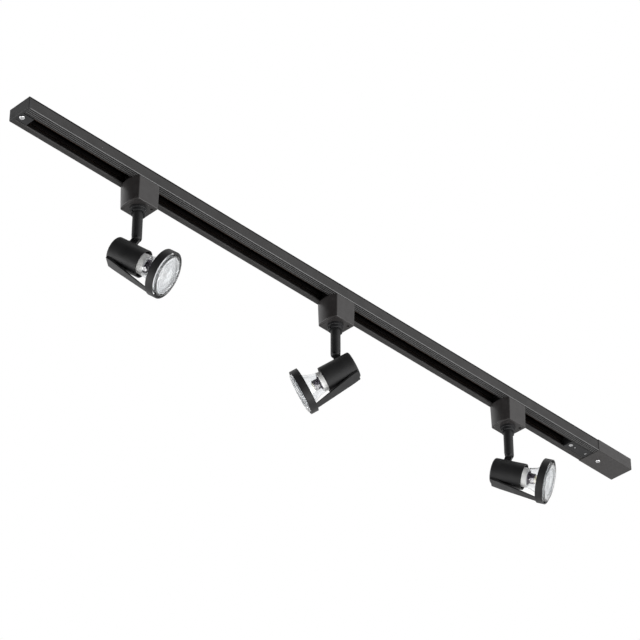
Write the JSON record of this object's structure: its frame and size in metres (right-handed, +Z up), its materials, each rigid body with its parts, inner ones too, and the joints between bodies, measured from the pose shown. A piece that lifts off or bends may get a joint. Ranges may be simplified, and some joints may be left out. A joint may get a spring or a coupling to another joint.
{
  "type": "track lighting fixture",
  "caption": "Ceiling track with a live-end feed box and sliding, panning and tilting spotlights that hold bayonet reflector lamps.",
  "frame": {"origin": "middle of the track's ceiling face, halfway along the 1000 mm track", "axes": "+Z up at the ceiling, +X along the track towards the live-end feed box, -Y the side with the wider lip"},
  "size_m": [1.068, 0.1152, 0.1752],
  "materials": {
    "coated_track": "satin black powder coat",
    "coated_metal": "satin black powder coat",
    "insulator": "matt extruded plastic",
    "black_plastic": "matt moulded plastic",
    "adapter_plastic": "fine satin moulded plastic",
    "copper": "drawn copper strip",
    "brass_screw": "turned brass",
    "zinc_screw": "bright zinc plate",
    "dark_screw": "black oxide",
    "ceramic": "unglazed ceramic",
    "lamp_base_white": "white moulded base",
    "lamp_glass": "clear fluted",
    "lamp_lens_clear": "faceted lens"
  },
  "bodies": {
    "track": {"track_profile": "coated_track", "insulator_near": "insulator", "insulator_far": "insulator", "live_conductor": "copper", "neutral_conductor": "copper", "earth_conductor": "copper", "end_cap": "black_plastic", "end_cap_screw": "zinc_screw", "feed_base": "black_plastic", "feed_cover": "adapter_plastic", "feed_cover_screw": "zinc_screw", "feed_tongue": "black_plastic", "feed_tongue_screws": "zinc_screw", "feed_terminal_block": "insulator", "feed_terminal_screws": "brass_screw"},
    "adapter_1": {"adapter_housing_1": "adapter_plastic", "adapter_carrier_1": "black_plastic", "adapter_contacts_1": "copper", "swivel_collar_1": "black_plastic"},
    "latch_1": {"lock_tab_1": "adapter_plastic"},
    "swivel_1": {"stem_1": "coated_metal", "stem_nut_1": "zinc_screw", "pivot_screw_1": "dark_screw"},
    "head_1": {"knuckle_1": "coated_metal", "barrel_1": "coated_metal", "ring_bracket_1": "coated_metal", "lampholder_1": "ceramic"},
    "lamp_1": {"lamp_base_1": "lamp_base_white", "lamp_shell_1": "lamp_glass", "lamp_lens_1": "lamp_lens_clear"},
    "adapter_2": {"adapter_housing_2": "adapter_plastic", "adapter_carrier_2": "black_plastic", "adapter_contacts_2": "copper", "swivel_collar_2": "black_plastic"},
    "latch_2": {"lock_tab_2": "adapter_plastic"},
    "swivel_2": {"stem_2": "coated_metal", "stem_nut_2": "zinc_screw", "pivot_screw_2": "dark_screw"},
    "head_2": {"knuckle_2": "coated_metal", "barrel_2": "coated_metal", "ring_bracket_2": "coated_metal", "lampholder_2": "ceramic"},
    "lamp_2": {"lamp_base_2": "lamp_base_white", "lamp_shell_2": "lamp_glass", "lamp_lens_2": "lamp_lens_clear"},
    "adapter_3": {"adapter_housing_3": "adapter_plastic", "adapter_carrier_3": "black_plastic", "adapter_contacts_3": "copper", "swivel_collar_3": "black_plastic"},
    "latch_3": {"lock_tab_3": "adapter_plastic"},
    "swivel_3": {"stem_3": "coated_metal", "stem_nut_3": "zinc_screw", "pivot_screw_3": "dark_screw"},
    "head_3": {"knuckle_3": "coated_metal", "barrel_3": "coated_metal", "ring_bracket_3": "coated_metal", "lampholder_3": "ceramic"},
    "lamp_3": {"lamp_base_3": "lamp_base_white", "lamp_shell_3": "lamp_glass", "lamp_lens_3": "lamp_lens_clear"}
  },
  "joints": [
    {"name": "track_slide_1", "type": "slide", "parent": "track", "child": "adapter_1", "axis": [1, 0, 0], "range_m": [-0.092, 0.092]},
    {"name": "latch_press_1", "type": "slide", "parent": "adapter_1", "child": "latch_1", "axis": [0, 0, -1], "range_m": [0, 0.003], "stiffness_N_per_m": 300, "springref_m": -0.002},
    {"name": "pan_1", "type": "hinge", "parent": "adapter_1", "child": "swivel_1", "pos_m": [-0.315, 0, -0.055], "axis": [0, 0, 1], "range_deg": [-124, 226]},
    {"name": "tilt_1", "type": "hinge", "parent": "swivel_1", "child": "head_1", "pos_m": [-0.315, 0, -0.0956], "axis": [0.7771, 0.6293, 0], "range_deg": [-33.5, 56.5]},
    {"name": "lamp_twist_1", "type": "hinge", "parent": "head_1", "child": "lamp_1", "pos_m": [-0.32389, 0.01098, -0.11695], "axis": [0.5248, -0.6481, -0.5519], "range_deg": [0, 25]},
    {"name": "track_slide_2", "type": "slide", "parent": "track", "child": "adapter_2", "axis": [1, 0, 0], "range_m": [-0.092, 0.092]},
    {"name": "latch_press_2", "type": "slide", "parent": "adapter_2", "child": "latch_2", "axis": [0, 0, -1], "range_m": [0, 0.003], "stiffness_N_per_m": 300, "springref_m": -0.002},
    {"name": "pan_2", "type": "hinge", "parent": "adapter_2", "child": "swivel_2", "pos_m": [0.0145, 0, -0.055], "axis": [0, 0, 1], "range_deg": [-297.5, 52.5]},
    {"name": "tilt_2", "type": "hinge", "parent": "swivel_2", "child": "head_2", "pos_m": [0.0145, 0, -0.0956], "axis": [-0.8434, -0.5373, 0], "range_deg": [-26, 64]},
    {"name": "lamp_twist_2", "type": "hinge", "parent": "head_2", "child": "lamp_2", "pos_m": [0.02053, -0.00946, -0.11861], "axis": [-0.4829, 0.758, -0.4384], "range_deg": [0, 25]},
    {"name": "track_slide_3", "type": "slide", "parent": "track", "child": "adapter_3", "axis": [1, 0, 0], "range_m": [-0.092, 0.092]},
    {"name": "latch_press_3", "type": "slide", "parent": "adapter_3", "child": "latch_3", "axis": [0, 0, -1], "range_m": [0, 0.003], "stiffness_N_per_m": 300, "springref_m": -0.002},
    {"name": "pan_3", "type": "hinge", "parent": "adapter_3", "child": "swivel_3", "pos_m": [0.3345, 0, -0.055], "axis": [0, 0, 1], "range_deg": [-120, 230]},
    {"name": "tilt_3", "type": "hinge", "parent": "swivel_3", "child": "head_3", "pos_m": [0.3345, 0, -0.0956], "axis": [0.8192, 0.5736, 0], "range_deg": [-19.5, 70.5]},
    {"name": "lamp_twist_3", "type": "hinge", "parent": "head_3", "child": "lamp_3", "pos_m": [0.3296, 0.007, -0.11973], "axis": [0.5407, -0.7722, -0.3338], "range_deg": [0, 25]}
  ]
}
